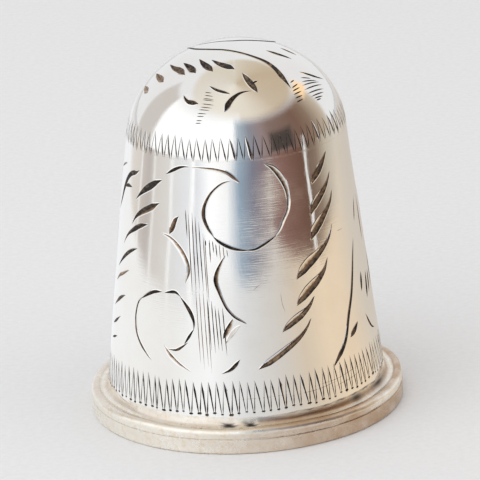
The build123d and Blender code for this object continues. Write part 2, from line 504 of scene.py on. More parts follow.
def wriggle_band(low, high, teeth, tilt, overlap, down, up, strength, dab=0):
    """A zigzag right round. `down` and `up` are the widths along its two kinds of line.

    dab is the width of the mark left at each lower point, where the graver was turned.
    """
    edges = np.linspace(0, 360, teeth + 1)[:-1] + rng.normal(0, 0.35, teeth)
    sway = np.clip(rng.normal(0, 0.05, (2, teeth)), -0.08, 0.08)
    firmness = np.clip(rng.normal(1, 0.14, teeth), 0.7, 1.25)
    for i in range(teeth):
        here, after = edges[i], edges[(i + 1) % teeth] + (360 if i == teeth - 1 else 0)
        point = here + overlap * (after - here)
        rise = [tilt * sin(radians(angle)) for angle in (here, point)]
        top = (here, high + rise[0] + sway[0, i])
        next_top = (after, high + rise[0] + sway[0, (i + 1) % teeth])
        bottom = (point, low + rise[1] + sway[1, i])
        past = (point + 0.12 * (after - here), bottom[1] - 0.03)
        wall_cut([top, bottom], [width * firmness[i] for width in down], strength=strength)
        wall_cut([next_top, past], [width * firmness[i] for width in up], strength=strength)
        if dab:
            reach = 0.2 * firmness[i] * (after - here)
            start, end = (point - reach, bottom[1] + 0.13), (past[0] + reach, bottom[1] + 0.14)
            wall_cut([start, end], [dab * firmness[i]] * 3, strength=strength)


def crown_design():
    """The leaf and ring on the top, the six commas, the sprig and the patches of shading."""
    crown_cuts([
        ([(-2.2, 3.3), (-2.75, 2.2), (-2.55, 1.05), (-2.27, 0.23), (-1.86, -0.32), (-1.23, -0.82),
          (-0.59, -1.14), (0.23, -1.55), (1.05, -1.95), (1.86, -2.32), (2.41, -2.77),
          (2.88, -3.32), (3.45, -3.9)],
         [0.08, 0.1, 0.12, 0.16, 0.17, 0.16, 0.15, 0.16, 0.2, 0.28, 0.36], dict(side=-0.2)),
        ([(-2.3, 1.2), (-2.0, 0.85), (-1.2, 0.42), (-0.05, 0.14), (1.1, 0.27), (1.86, 0.59),
          (2.35, 1.1), (2.65, 1.9), (2.6, 2.9), (2.0, 3.9), (0.9, 4.6), (-0.6, 4.4), (-2.0, 3.6)],
         [0.08, 0.12, 0.18, 0.2, 0.22, 0.26, 0.26, 0.22, 0.18, 0.14, 0.1]),
        ([(2.7, -0.05), (3.25, -0.12), (3.8, -0.1)], [0.2, 0.24, 0.18], dict(strength=0.8)),
        ([(1.85, -1.05), (2.6, -1.15), (3.45, -1.12)], [0.2, 0.24, 0.2]),
        ([(5.7, -0.9), (5.2, -1.45), (4.6, -1.85), (3.9, -2.17)], [0.1, 0.18, 0.14]),
    ])
    commas = [
        [(-5.76, -0.1), (-5.72, -0.7), (-5.62, -1.5)],
        [(-4.8, -0.05), (-4.66, -0.9), (-4.38, -1.95)],
        [(-3.82, -0.35), (-3.58, -1.2), (-3.22, -1.9), (-2.95, -2.55)],
        [(-2.97, -1.22), (-2.65, -1.95), (-2.28, -2.8)],
        [(-2.0, -1.55), (-1.74, -2.25), (-1.26, -3.1)],
        [(-1.3, -2.0), (-0.82, -2.58), (0.03, -3.17)],
    ]
    for number, places in enumerate(commas):
        dark = min(1.0, 0.55 + 0.15 * number)
        crown_cut(places, [0.16, 0.3, 0.4, 0.4], oxide=(1, 0.95, 0.85), strength=dark)
    crown_cuts([
        ([(-3.22, -4.05), (-3.02, -4.62), (-2.35, -5.08)], [0.14, 0.26, 0.28]),
        ([(-1.58, -4.1), (-1.1, -4.55), (-0.32, -4.94)], [0.12, 0.17, 0.16]),
        ([(1.0, -4.74), (0.35, -4.88), (-0.1, -5.15), (-0.45, -5.5), (-0.78, -6.0)],
         [0.1, 0.18, 0.28, 0.34]),
        ([(0.42, -3.45), (0.8, -4.05), (1.36, -4.82)],
         [0.22, 0.36, 0.38, 0.3], dict(oxide=(1, 0.8, 0.9))),
        ([(0.95, -4.3), (1.2, -4.1), (1.35, -4.0)], [0.12, 0.12]),
    ])
    for turned in (False, True):
        shade_patch((-1.85, -4.45), (-2.8, -6.15), (0.62, -0.28), (0.6, -0.22), 11, 0.05, turned)
        for places in (
            [(4.02, -2.66), (4.75, -2.1)], [(4.1, -2.98), (5.18, -1.85)],
            [(4.15, -3.28), (5.38, -1.75)], [(4.32, -3.53), (5.6, -1.76)],
            [(4.57, -3.66), (5.76, -2.02)], [(4.86, -3.68), (5.82, -2.3)],
            [(5.1, -3.62), (5.77, -2.75)], [(5.3, -3.6), (5.66, -3.1)],
            [(3.38, -3.5), (3.62, -3.12)], [(3.48, -3.88), (3.88, -3.28)],
            [(3.54, -4.08), (4.03, -3.48)], [(3.64, -4.28), (4.18, -3.68)],
            [(3.76, -4.48), (4.28, -3.93)], [(3.9, -4.68), (4.34, -4.18)],
        ):
            crown_cut(places, [0.07, 0.085, 0.08, 0.06], turned)
    # The side away from the front repeats the sprig.
    crown_cuts([
        ([(-3.22, -4.6), (-2.9, -5.2), (-2.2, -5.6)], [0.14, 0.26, 0.28]),
        ([(1.2, -5.1), (0.35, -5.2), (-0.3, -5.6), (-0.7, -6.2)], [0.12, 0.24, 0.3]),
    ], turned=True)


def shade_patch(first, last, first_stroke, last_stroke, count, width, turned):
    """A block of short parallel lines between two places."""
    for i in range(count):
        t = i / (count - 1)
        jitter = rng.normal(0, 0.03, 2)
        start = np.array(first) * (1 - t) + np.array(last) * t + jitter
        grow = 0.7 + 0.6 * sin(pi * min(1, t * 1.15))
        stroke = (np.array(first_stroke) * (1 - t) + np.array(last_stroke) * t) * grow
        crown_cut([tuple(start), tuple(start + stroke)], [width, width, width * 0.8], turned,
                  strength=0.9)


def engrave():
    """All the cuts, as two like panels, two sprays, two bands and the crown."""
    for turn in (0, 180):
        leaf_row_right(turn)
        comma_row_left(turn)
        upper_scroll(turn)
        left_motif(turn)
        middle_motif(turn)
        shading(turn)
        side_spray(turn)
    scratches()
    wriggle_band(low=1.98, high=4.0, teeth=109, tilt=0.13, overlap=0.72,
                 down=[0.1, 0.115, 0.09, 0.06, 0.06, 0.115], up=[0.025, 0.03, 0.04, 0.055, 0.1],
                 strength=1.0, dab=0.11)
    wriggle_band(low=16.5, high=17.85, teeth=80, tilt=0.12, overlap=0.66,
                 down=[0.05, 0.06, 0.065, 0.07, 0.115], up=[0.025, 0.04, 0.045, 0.05, 0.09],
                 strength=1.0)
    crown_design()


# ---- the map's triangles --------------------------------------------------------------------
LEAST_DEPTH = 0.0015    # a shallower place counts as uncut
LEAST_BURR = 0.001      # a lower place counts as having no burr
BURR_LIMIT = 0.004      # a burr ends where another cut goes deeper than this
GRID = 0.36             # spacing of plain points on the sheet
KEEP_OFF = 0.09         # plain points stay this far from cuts and joints
RIM_STEP = 0.2          # spacing of points along the joints
WHOLE_HULL = 0          # delaunay_2d_cdt's output
SNAP = 1e-5             # map points nearer than this are one


def ring_points(s, split_at_seam):
    """Map points round one level, with two of them on the seam's edges if it crosses there."""
    r = radius_at(s)
    count = int(2 * pi * r / RIM_STEP)
    if split_at_seam:
        edge = pi - SEAM_WIDTH / 2 / r
        theta = np.linspace(-edge, edge, count)
    else:
        theta = np.linspace(-pi, pi, count + 1)[:-1]
    return to_map(theta, np.full(len(theta), s))


def seam_points(side, s_top, s_foot):
    s = np.linspace(s_top, s_foot, int((s_foot - s_top) / RIM_STEP))[1:-1]
    theta = side * (pi - SEAM_WIDTH / 2 / radius_at(s))
    return to_map(theta, s)


def plain_points(joint_levels):
    """Evenly spread points that keep clear of every cut and joint."""
    points = [np.zeros((1, 2))]
    rows = int(full_length / GRID)
    for row in range(1, rows):
        s = full_length * row / rows
        if min(abs(s - level) for level in joint_levels) < KEEP_OFF:
            continue
        count = max(6, int(2 * pi * radius_at(s) / GRID))
        theta = (np.arange(count) + 0.5 * (row % 2)) * 2 * pi / count
        points.append(to_map(theta, np.full(count, s)))
    points = np.concatenate(points)
    theta, s = from_map(points)
    r = radius_at(s)
    near_seam = (np.cos(theta) < 0) & (np.abs(r * np.sin(theta)) < SEAM_WIDTH / 2 + KEEP_OFF)
    keep = ~(near_seam & (s > joint_levels[0]))
    for cut in cuts:
        margin = 0.25 * cut.scale.max()
        near = ((points > cut.low - margin) & (points < cut.high + margin)).all(1) & keep
        if near.any():
            lateral, half = cut.nearest(points[near])
            keep[np.flatnonzero(near)] = np.abs(lateral) > half + cut.burr + KEEP_OFF
    return points[keep]


def triangulate():
    """The whole map in triangles, with cuts and joints as edges of triangles."""
    s_crown, s_wall_top = distance_at(crown_edge_z), distance_at(wall_top_z)
    s_foot = full_length
    points, edges = [], []

    def add(line, closed=False):
        start = sum(len(p) for p in points)
        points.append(line)
        edges.extend((start + i, start + i + 1) for i in range(len(line) - 1))
        if closed:
            edges.append((start + len(line) - 1, start))
        return start, start + len(line) - 1

    add(ring_points(s_crown, False), closed=True)
    top_left, top_right = add(ring_points(s_wall_top, True), closed=True)
    foot_left, foot_right = add(ring_points(s_foot, True), closed=True)
    for side, top, foot in ((-1, top_left, foot_left), (1, top_right, foot_right)):
        first, last = add(seam_points(side, s_wall_top, s_foot))
        edges.extend([(top, first), (last, foot)])
    for cut in cuts:
        tips = cut.line[[0, -1]]
        for line in cut.outline():
            add(np.concatenate([tips[:1], line, tips[1:]]))
    points.append(plain_points([s_crown, s_wall_top, s_foot]))
    flat = [Vector(p) for p in np.concatenate(points)]
    result = delaunay_2d_cdt(flat, edges, [], WHOLE_HULL, SNAP, False)
    return np.array([tuple(v) for v in result[0]]), np.array([tuple(f) for f in result[2]])


def carve_all(xy):
    """Depth, and oxide with painted shade, of the deepest cut at each map point, and burr height
    where none cuts.
    """
    depth, oxide, burr = np.zeros((3, len(xy)))
    order = np.argsort(xy[:, 0])
    sorted_x = xy[order, 0]
    for cut in cuts:
        first, last = np.searchsorted(sorted_x, [cut.low[0], cut.high[0]])
        near = order[first:last]
        near = near[(xy[near, 1] > cut.low[1]) & (xy[near, 1] < cut.high[1])]
        if len(near):
            cut_depth, cut_oxide_and_shade, cut_burr = cut.carve(xy[near])
            depth[near] = np.maximum(depth[near], cut_depth)
            oxide[near] = np.maximum(oxide[near], cut_oxide_and_shade)
            burr[near] = np.maximum(burr[near], cut_burr)
    return depth, oxide, np.where(depth > BURR_LIMIT, 0, burr)


# ---- meshes ---------------------------------------------------------------------------------
def linked_mesh(name, vertices, faces):
    """A mesh object in the scene, with places in metres."""
    mesh = bpy.data.meshes.new(name)
    mesh.from_pydata(vertices, [], faces)
    thing = bpy.data.objects.new(name, mesh)
    bpy.context.scene.collection.objects.link(thing)
    return thing


def new_object(name, vertices, faces, corner_normals=None, corner_oxide_and_shade=None):
    """A piece made from arrays in millimetres."""
    piece = linked_mesh(name, (np.asarray(vertices) * MM).tolist(), [list(f) for f in faces])
    mesh = piece.data
    mesh.polygons.foreach_set("use_smooth", [True] * len(mesh.polygons))
    if corner_oxide_and_shade is not None:
        attribute = mesh.attributes.new("oxide", "FLOAT", "CORNER")
        attribute.data.foreach_set("value", corner_oxide_and_shade.astype(np.float32).ravel())
    if corner_normals is not None:
        mesh.normals_split_custom_set(corner_normals.reshape(-1, 3).tolist())
    return piece


def face_normals(vertices, faces):
    a, b, c = (vertices[faces[:, i]] for i in range(3))
    normal = np.cross(b - a, c - a)
    length = np.linalg.norm(normal, axis=1, keepdims=True)
    return normal / np.maximum(length, 1e-12)


def region_of(xy):
    """0 crown, 1 crown joint, 2 wall, 3 the wall's seam."""
    theta, s = from_map(xy)
    r, z = radius_at(s), height_at(s)
    in_seam = (np.cos(theta) < 0) & (np.abs(r * np.sin(theta)) < SEAM_WIDTH / 2)
    region = np.where(z > wall_top_z, 1, np.where(in_seam, 3, 2))
    return np.where(z > crown_edge_z, 0, region)


def inner_skin(xy):
    """Places and outward normals of the sheet's inside, under map points."""
    normal = fold_normals(xy)
    _, s = from_map(xy)
    level = 1 - smooth_step((dome_length - s) / 2)      # on the wall the offset is level
    lift = SHEET * sin(taper) * level
    inside = fold(xy) - SHEET * normal
    inside[:, 2] += lift
    return inside, -normal


def boundary_edges(faces):
    """Edges that only one triangle has, in its own direction."""
    directed = np.concatenate([faces[:, [0, 1]], faces[:, [1, 2]], faces[:, [2, 0]]])
    key = directed[:, 0].astype(np.int64) * (faces.max() + 1) + directed[:, 1]
    back = directed[:, 1].astype(np.int64) * (faces.max() + 1) + directed[:, 0]
    return directed[~np.isin(key, back)]


def sheet_piece(name, region, xy, faces, regions, outer):
    """One closed piece of the sheet: carved outside, plain inside and the edges between."""
    places, normals, oxide, is_cut, oxide_and_shade_faces = outer
    here = regions == region
    mine = faces[here]
    rim = boundary_edges(mine)
    used = np.unique(mine)
    new_id = np.full(len(xy), -1)
    new_id[used] = np.arange(len(used))
    inner_places, inner_normals = inner_skin(xy[used])
    vertices = np.concatenate([places[used], inner_places])
    top = new_id[mine]
    under = top[:, ::-1] + len(used)
    high, low = new_id[rim], new_id[rim] + len(used)
    sides = np.concatenate(
        [np.stack([high[:, 1], high[:, 0], low[:, 0]], -1),
         np.stack([high[:, 1], low[:, 0], low[:, 1]], -1)]
    )

    flat_normals = face_normals(places, mine)
    top_normals = np.where(is_cut[here, None, None], flat_normals[:, None], normals[mine])
    under_normals = inner_normals[top[:, ::-1]]
    side_normals = np.repeat(face_normals(vertices, sides)[:, None], 3, 1)
    top_oxide_and_shade = np.where(oxide_and_shade_faces[here, None], oxide[mine], 0)
    rest = np.zeros((len(under) + len(sides), 3))
    return new_object(
        name,
        vertices,
        np.concatenate([top, under, sides]),
        np.concatenate([top_normals, under_normals, side_normals]),
        np.concatenate([top_oxide_and_shade, rest]),
    )


def build_sheet_pieces():
    engrave()
    xy, faces = triangulate()
    depth, oxide, burr = carve_all(xy)
    centre_depth, _, centre_burr = carve_all(xy[faces].mean(1))
    oxide_and_shade_faces = centre_depth > LEAST_DEPTH
    is_cut = oxide_and_shade_faces | (centre_burr > LEAST_BURR)
    normals = fold_normals(xy)
    places = fold(xy) + (burr - depth)[:, None] * normals
    places[:, 2] = np.minimum(places[:, 2], apex_z)
    regions = region_of(xy[faces].mean(1))
    outer = (places, normals, oxide, is_cut, oxide_and_shade_faces)
    names = ["crown", "crown_solder_joint", "side_wall", "wall_seam_solder"]
    return {
        node: sheet_piece("silver_" + node, region, xy, faces, regions, outer)
        for region, node in enumerate(names)
    }


# ---- the rim: base ring, moulding and their solder ------------------------------------------
RIM_SEGMENTS = 480
SHARP_ANGLE = radians(38)
HAIR = 0.001            # allowance when a profile's points are picked out by their place
STRIP_FROM_R = 8.4      # outwards from here the base ring is hammered
COVE_FROM_R, COVE_FROM_Z = 7.9, 1.3     # and here the moulding's cove begins
BEAD_FROM_R = 8.45                      # and its bead


def arc(centre, radius, start, end, count):
    """Points (radius out, height) of an arc in the meridian plane, with angles in degrees."""
    angles = np.radians(np.linspace(start, end, count))
    return [(centre[0] + radius * cos(a), centre[1] + radius * sin(a)) for a in angles]


def straight(start, end, count):
    """Points from start up to, but not including, end."""
    return [tuple(p) for p in np.linspace(start, end, count + 1)[:-1]]


def turned_piece(name, profile, shape, grime):
    """A ring turned from an anticlockwise profile, with each point then moved by shape.

    grime gives the oxide left at each point.
    """
    profile = np.array(profile)
    theta = np.linspace(-pi, pi, RIM_SEGMENTS + 1)[:-1]
    angle, r = np.meshgrid(theta, profile[:, 0], indexing="ij")
    z = np.broadcast_to(profile[:, 1], r.shape)
    angle, r, z = angle.ravel(), r.ravel(), z.ravel()
    count = len(profile)
    ring, place = np.meshgrid(np.arange(RIM_SEGMENTS), np.arange(count), indexing="ij")
    ring_after, place_after = (ring + 1) % RIM_SEGMENTS, (place + 1) % count
    faces = np.stack(
        [ring * count + place, ring_after * count + place,
         ring_after * count + place_after, ring * count + place_after], -1
    ).reshape(-1, 4)
    piece = new_object(name, shape(angle, r, z), faces)
    oxide = piece.data.attributes.new("oxide", "FLOAT", "POINT")
    oxide.data.foreach_set("value", grime(angle, r, z).astype(np.float32))
    piece.data.set_sharp_from_angle(angle=SHARP_ANGLE)
    return piece


# Solder pits below the wall's foot, as (degrees round, half width in degrees, depth), and
# brown stains there, as (degrees round, half width in degrees).
PITS = ((-8.2, 2.8, 0.084), (0.6, 2.3, 0.084), (143, 1.6, 0.07))
PIT_Z = 1.5
STAINS = ((69, 8), (50, 4), (-140, 8))


def no_grime(theta, r, z):
    return np.zeros_like(r)


def pit_grime(theta, r, z):
    """Black solder pits and brown stains where the wall stands on the moulding, and a dark line
    along the wall's foot on the right.
    """
    turn = np.degrees(theta)
    pits = np.zeros_like(r)
    for place, half, _ in PITS:
        across = (turn - place + 6 * (z - PIT_Z)) / (half * (1 + 0.3 * np.sin(40 * z)))
        pits = np.maximum(pits, np.exp(-(across**4) - ((z - PIT_Z) / 0.1) ** 4))
    stains = np.zeros_like(r)
    for place, half in STAINS:
        fade = np.exp(-(((turn - place) / half) ** 2) - ((z - 1.6) / 0.17) ** 2)
        stains = np.maximum(stains, 0.9 * fade)
    seam = smooth_step((turn - 8) / 20) * smooth_step((85 - turn) / 15)
    line_z = moulding_top_z + 0.17 + 0.02 * np.sin(1.9 * turn)
    seam = seam * (0.65 + 0.3 * np.sin(0.8 * turn)) * np.exp(-(((z - line_z) / 0.05) ** 2))
    beside_wall = smooth_step((8.5 - r) / 0.15) * smooth_step((r - 7.8) / 0.1)
    return np.maximum(np.maximum(pits, stains), seam) * beside_wall


def pit_depth(theta):
    turn = np.degrees(theta)
    return sum(depth * np.exp(-(((turn - place) / half) ** 4)) for place, half, depth in PITS)


def waves(theta, seed, orders, sizes):
    """A smooth uneven line round the ring."""
    source = np.random.default_rng(seed)
    total = np.zeros_like(theta)
    for order, size in zip(orders, sizes):
        total += size * np.sin(order * theta + source.uniform(0, 2 * pi))
    return total


def placed(theta, r, z, shift):
    """Places of ring points. shift is how far the piece was soldered on off centre."""
    return np.stack([r * np.sin(theta) + shift, -r * np.cos(theta), z], -1)


def closed_up(theta):
    """One at the left and back, where solder hides the joint under the bead. Zero at the right."""
    turn = np.degrees(theta)
    return 1 - smooth_step((turn + 25) / 30) * smooth_step((150 - turn) / 30)


def base_ring():
    """The plain strip that the thimble stands on, hammered and a little uneven."""
    foot, edge = 0.14, 0.035
    profile = (
        straight((MOUTH_R, 0), (rim_r - foot, 0), 8)
        + arc((rim_r - foot, foot), foot, -90, 0, 7)
        + straight((rim_r, foot + 0.05), (rim_r, ring_top_z - edge), 8)
        + arc((rim_r - edge, ring_top_z - edge), edge, 0, 90, 6)
        + straight((rim_r - edge - 0.1, ring_top_z), (MOUTH_R, ring_top_z), 6)
        + straight((MOUTH_R, ring_top_z), (MOUTH_R, 0), 5)
    )

    def shape(theta, r, z):
        outer = smooth_step((r - STRIP_FROM_R) / 0.5)
        middle = 1 - np.abs(2 * z / ring_top_z - 1)
        hollow = waves(theta, 3, (2, 3, 5, 9, 14), (0.014, 0.01, 0.008, 0.006, 0.005))
        dents = 0.012 * np.maximum(0, np.sin(23 * theta + 5 * z) * np.sin(11 * theta - 2))
        at_edge = (z > ring_top_z - edge - HAIR) & (r > rim_r - edge - HAIR)
        r = r + at_edge * closed_up(theta) * (rim_r - r)
        r = r - outer * np.clip(0.02 * middle + hollow + dents, 0, 0.07)
        return placed(theta, r, z, 0.03)

    return turned_piece("rim_base_ring", profile, shape, no_grime)


BEAD_EDGE_R = 0.03      # the small rounded edge at the bead's foot


def moulding_profile():
    bead = (bead_outer_r - BEAD_R, moulding_foot_z + BEAD_R)
    lip_r = MOUTH_R + SHEET + COVE_LEDGE
    across = bead[0] - lip_r
    valley = BEAD_R - COVE_VALLEY_DEPTH
    reach = across + BEAD_R - valley
    cove_r = reach - sqrt(reach**2 - across**2 - valley**2 + BEAD_R**2)
    cove = (lip_r + cove_r, moulding_top_z)
    meeting = degrees(atan2(cove[1] - bead[1], cove[0] - bead[0]))
    corner = (bead_outer_r - BEAD_EDGE_R, moulding_foot_z + BEAD_EDGE_R)
    return (
        straight((MOUTH_R, moulding_foot_z), (corner[0], moulding_foot_z), 8)
        + arc(corner, BEAD_EDGE_R, -90, 0, 4)
        + straight((bead_outer_r, corner[1] + BEAD_EDGE_R), (bead_outer_r, bead[1]), 4)
        + arc(bead, BEAD_R, 0, meeting, 20)
        + arc(cove, cove_r, meeting - 180, -180, 14)[1:]
        + straight((lip_r - 0.08, moulding_top_z), (MOUTH_R, moulding_top_z), 3)
        + straight((MOUTH_R, moulding_top_z), (MOUTH_R, moulding_foot_z), 4)
    )


def foot_moulding():
    """The round bead and the cove above it, filed by hand."""

    def shape(theta, r, z):
        outer = smooth_step((r - COVE_FROM_R) / 0.25)
        bead = smooth_step((r - BEAD_FROM_R) / 0.3)
        uneven = waves(theta, 11, (2, 3, 4, 7, 13, 21), (0.012, 0.01, 0.008, 0.007, 0.005, 0.004))
        to_right = 0.5 + 0.5 * np.sin(theta)
        edge_r, edge_z = bead_outer_r - BEAD_EDGE_R, moulding_foot_z + BEAD_EDGE_R
        at_edge = (z < edge_z - HAIR) & (r > edge_r - HAIR)
        r = r + at_edge * closed_up(theta) * (bead_outer_r - r)
        r = r - bead * np.clip(0.05 + 0.03 * to_right + uneven, 0.03, 0.11)
        sway = waves(theta, 12, (3, 5, 8, 17), (0.022, 0.016, 0.012, 0.008))
        filed = waves(theta, 13, (6, 9, 15, 26), (0.02, 0.016, 0.012, 0.008)) * to_right
        crest = smooth_step((z - moulding_foot_z - 0.15) / 0.3)
        z = z + bead * crest * np.clip(sway + filed - 0.02, -0.08, 0.02)
        in_cove = outer * (1 - bead) * smooth_step((z - COVE_FROM_Z) / 0.15)
        return placed(theta, r, z - in_cove * pit_depth(theta), 0.02)

    return turned_piece("rim_moulding", moulding_profile(), shape, pit_grime)


def ring_solder():
    """The solder under the bead: flush at the left, lying back in a crease at the right."""
    low, high = ring_top_z, moulding_foot_z
    profile = (
        straight((MOUTH_R, low), (rim_r, low), 5)
        + straight((rim_r, low), (rim_r, high), 3)
        + straight((rim_r, high), (MOUTH_R, high), 5)
        + straight((MOUTH_R, high), (MOUTH_R, low), 2)
    )

    def shape(theta, r, z):
        outer = smooth_step((r - rim_r + 0.1) / 0.1)
        uneven = waves(theta, 21, (5, 11, 23, 41), (0.012, 0.01, 0.008, 0.006))
        recess = np.clip(0.06 * (1 - closed_up(theta)) + uneven, 0, 0.08)
        return placed(theta, r - outer * recess, z, 0.01)

    return turned_piece("solder_base_ring", profile, shape, pit_grime)


def wall_fillet():
    """The solder between moulding and wall, which also rounds the corner that they make."""
    wall_r = wall_foot_r - 0.015                       # where the fillet meets the wall
    top, toe = (wall_r, moulding_top_z + 0.22), (wall_foot_r + 0.31, moulding_top_z - 0.295)
    knee = (wall_foot_r + 0.03, moulding_top_z - 0.24)
    t = np.linspace(0, 1, 16)[:, None]
    bend = (1 - t) ** 2 * np.array(toe) + 2 * t * (1 - t) * np.array(knee) + t**2 * np.array(top)
    face = [tuple(point) for point in bend]
    sunk_r = wall_foot_r - 0.06                        # hidden inside the wall and the moulding
    profile = (
        straight((MOUTH_R, moulding_top_z), (sunk_r, moulding_top_z), 4)
        + [(sunk_r, toe[1] - 0.03), (toe[0] + 0.03, toe[1] - 0.03)]
        + face
        + [(sunk_r, top[1] - 0.02), (sunk_r, wall_foot_z)]
        + straight((sunk_r - 0.1, wall_foot_z), (MOUTH_R, wall_foot_z), 4)
    )

    def shape(theta, r, z):
        outer = smooth_step((r - wall_r + 0.03) / 0.02)
        low = smooth_step((top[1] - z) / 0.4)
        r = r + outer * low * waves(theta, 22, (5, 9, 14, 23), (0.012, 0.01, 0.008, 0.006))
        z = z + outer * (1 - low) * waves(theta, 23, (4, 11, 19, 37), (0.02, 0.015, 0.012, 0.01))
        return placed(theta, r, z - outer * low * pit_depth(theta), 0.005)

    return turned_piece("solder_wall_foot", profile, shape, pit_grime)


# ---- materials ------------------------------------------------------------------------------
class Nodes:
    """Small helper for node trees."""

    def __init__(self, tree):
        self.tree = tree

    def new(self, kind, **settings):
        node = self.tree.nodes.new(kind)
        for name, value in settings.items():
            setattr(node, name, value)
        return node

    def link(self, start, end):
        self.tree.links.new(start, end)

    def noise(self, vector, size, detail=3.0, roughness=0.5):
        """Noise from 0 to 1 with features about `size` millimetres across."""
        node = self.new("ShaderNodeTexNoise")
        node.inputs["Scale"].default_value = 1 / (size * MM)
        node.inputs["Detail"].default_value = detail
        node.inputs["Roughness"].default_value = roughness
        self.link(vector, node.inputs["Vector"])
        return node.outputs["Fac"]

    def spread(self, value, low, high, to_low=0.0, to_high=1.0):
        node = self.new("ShaderNodeMapRange", clamp=True)
        for name, number in (("From Min", low), ("From Max", high),
                             ("To Min", to_low), ("To Max", to_high)):
            node.inputs[name].default_value = number
        self.link(value, node.inputs["Value"])
        return node.outputs["Result"]

    def math(self, operation, a, b):
        node = self.new("ShaderNodeMath", operation=operation)
        for socket, value in zip(node.inputs, (a, b)):
            if isinstance(value, (int, float)):
                socket.default_value = value
            else:
                self.link(value, socket)
        return node.outputs[0]

    def mix(self, factor, a, b):
        """Mix of two colours, each given as a colour or a socket."""
        node = self.new("ShaderNodeMix", data_type="RGBA")
        self.link(factor, node.inputs["Factor"])
        for socket, value in zip((node.inputs[6], node.inputs[7]), (a, b)):
            if isinstance(value, tuple):
                socket.default_value = (*value, 1)
            else:
                self.link(value, socket)
        return node.outputs[2]

    def show_mix(self, factor, first, second, output):
        """Ends the tree with a mix of two shaders."""
        mix = self.new("ShaderNodeMixShader")
        for socket, value in zip(mix.inputs, (factor, first.outputs[0], second.outputs[0])):
            self.link(value, socket)
        self.link(mix.outputs[0], self.new(output).inputs["Surface"])

    def stretched(self, vector, scale):
        node = self.new("ShaderNodeMapping")
        node.inputs["Scale"].default_value = scale
        self.link(vector, node.inputs["Vector"])
        return node.outputs["Vector"]

    def bump(self, height, distance, after=None):
        """Bump where a height of 1 stands `distance` millimetres proud."""
        node = self.new("ShaderNodeBump")
        node.inputs["Distance"].default_value = distance * MM
        self.link(height, node.inputs["Height"])
        if after is not None:
            self.link(after, node.inputs["Normal"])
        return node.outputs["Normal"]


def new_material(name):
    material = bpy.data.materials.new(name)
    material.use_nodes = True
    nodes = Nodes(material.node_tree)
    shader = material.node_tree.nodes["Principled BSDF"]
    place = nodes.new("ShaderNodeTexCoord").outputs["Object"]
    return material, nodes, shader, place


def join(nodes, shader, **values):
    """Links each value to the shader's input of that name, with _ for a space."""
    for name, value in values.items():
        nodes.link(value, shader.inputs[name.replace("_", " ")])


def oxide_and_shade_on_mesh(nodes):
    return nodes.new("ShaderNodeAttribute", attribute_name="oxide").outputs["Fac"]


SILVER = (0.93, 0.915, 0.89)
TARNISHED = (0.80, 0.75, 0.68)
# Brown and black for the cuts: their oxide and also the painted shade on one side of many cuts.
BROWN_OXIDE_AND_SHADE = (0.30, 0.19, 0.11)
BLACK_OXIDE_AND_SHADE = (0.018, 0.012, 0.009)


def engraved_silver():
    """Polished silver, dulled in patches, with black oxide left in the cuts and painted shade on
    one side of many of them.
    """
    material, nodes, shader, place = new_material("engraved_silver")
    cut = oxide_and_shade_on_mesh(nodes)
    grime = nodes.spread(nodes.noise(place, 0.22, 3.0, 0.6), 0.3, 0.7, 0.62, 1.12)
    oxide = nodes.math("MULTIPLY", cut, grime)
    patches = nodes.spread(nodes.noise(place, 3.5, 5.0, 0.62), 0.48, 0.8, 0.0, 0.3)
    silver = nodes.mix(patches, SILVER, TARNISHED)
    # Brown, then black, as the cut's oxide and painted shade grow.
    brown = nodes.mix(nodes.spread(oxide, 0.12, 0.5), silver, BROWN_OXIDE_AND_SHADE)
    colour = nodes.mix(nodes.spread(oxide, 0.5, 0.85), brown, BLACK_OXIDE_AND_SHADE)
    metallic = nodes.spread(oxide, 0.35, 0.85, 1.0, 0.1)
    smear = nodes.spread(nodes.noise(place, 1.2, 6.0, 0.65), 0.35, 0.75, 0.06, 0.13)
    rough = nodes.math("MAXIMUM", smear, nodes.math("MULTIPLY", oxide, 0.6))
    upright = nodes.noise(nodes.stretched(place, (1, 1, 0.04)), 0.09, 2.0)
    round_about = nodes.noise(nodes.stretched(place, (0.06, 0.06, 1)), 0.07, 2.0)
    normal = nodes.bump(nodes.noise(place, 1.6, 2.0), 0.004)
    for height, distance in ((upright, 0.0012), (round_about, 0.0009)):
        normal = nodes.bump(height, distance, normal)
    join(nodes, shader, Base_Color=colour, Metallic=metallic, Roughness=rough, Normal=normal)
    return material


